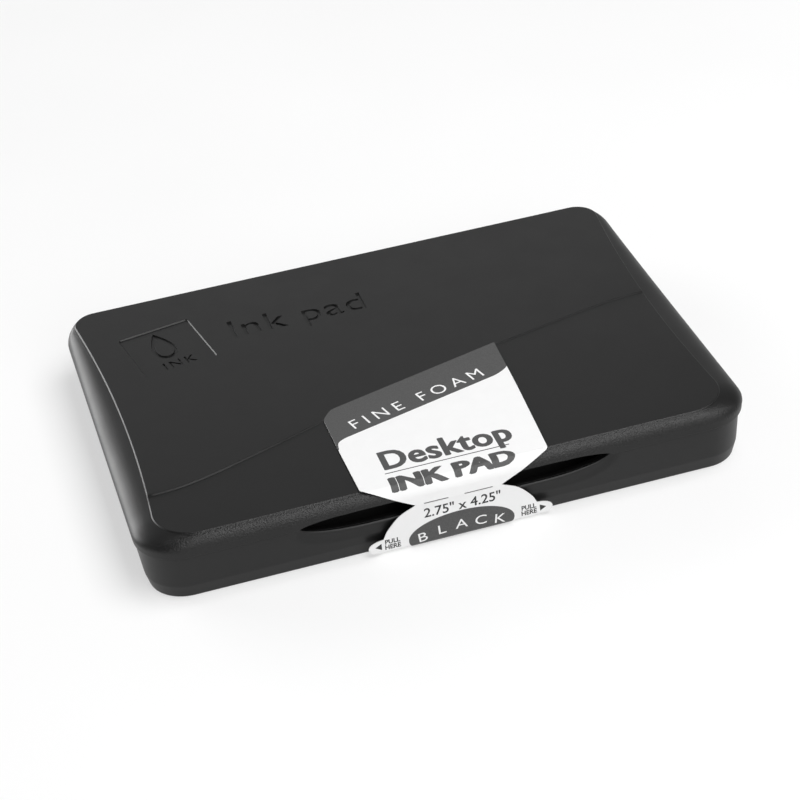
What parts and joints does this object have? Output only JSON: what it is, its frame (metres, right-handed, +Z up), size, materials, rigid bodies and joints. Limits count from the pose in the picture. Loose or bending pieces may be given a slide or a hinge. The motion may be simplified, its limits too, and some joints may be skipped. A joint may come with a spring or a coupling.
{
  "type": "ink pad",
  "caption": "Flat rectangular stamping ink pad in a moulded plastic case with a rear-hinged lid, thumb notch and paper seal label.",
  "frame": {"origin": "middle of the case's flat underside, on the surface it rests on", "axes": "+X along the long side to the right as seen from the thumb notch, +Y towards the hinge, +Z up"},
  "size_m": [0.128, 0.098, 0.0155],
  "materials": {
    "case_plastic": "satin charcoal moulding with a fine spark grain",
    "tray_plastic": "satin black moulding",
    "pin_steel": "drawn wire",
    "ink_felt": "ink-soaked felt",
    "pad_foam": "open-cell foam",
    "pad_skin": "fine-pored foam rubber, moist with black ink",
    "label_paper": "coated paper, printed in dark grey"
  },
  "bodies": {
    "base": {"base_shell": "case_plastic", "hinge_pin_left": "pin_steel", "hinge_pin_right": "pin_steel", "pad_tray": "tray_plastic", "ink_reservoir": "ink_felt", "stamp_foam": "pad_foam", "pad_skin": "pad_skin", "tear_seal": "label_paper"},
    "lid": {"lid_shell": "case_plastic", "lid_label": "label_paper"}
  },
  "joints": [
    {"name": "lid_hinge", "type": "hinge", "parent": "base", "child": "lid", "pos_m": [0, 0.0492, 0.0096], "axis": [-1, 0, 0], "range_deg": [0, 180]}
  ]
}
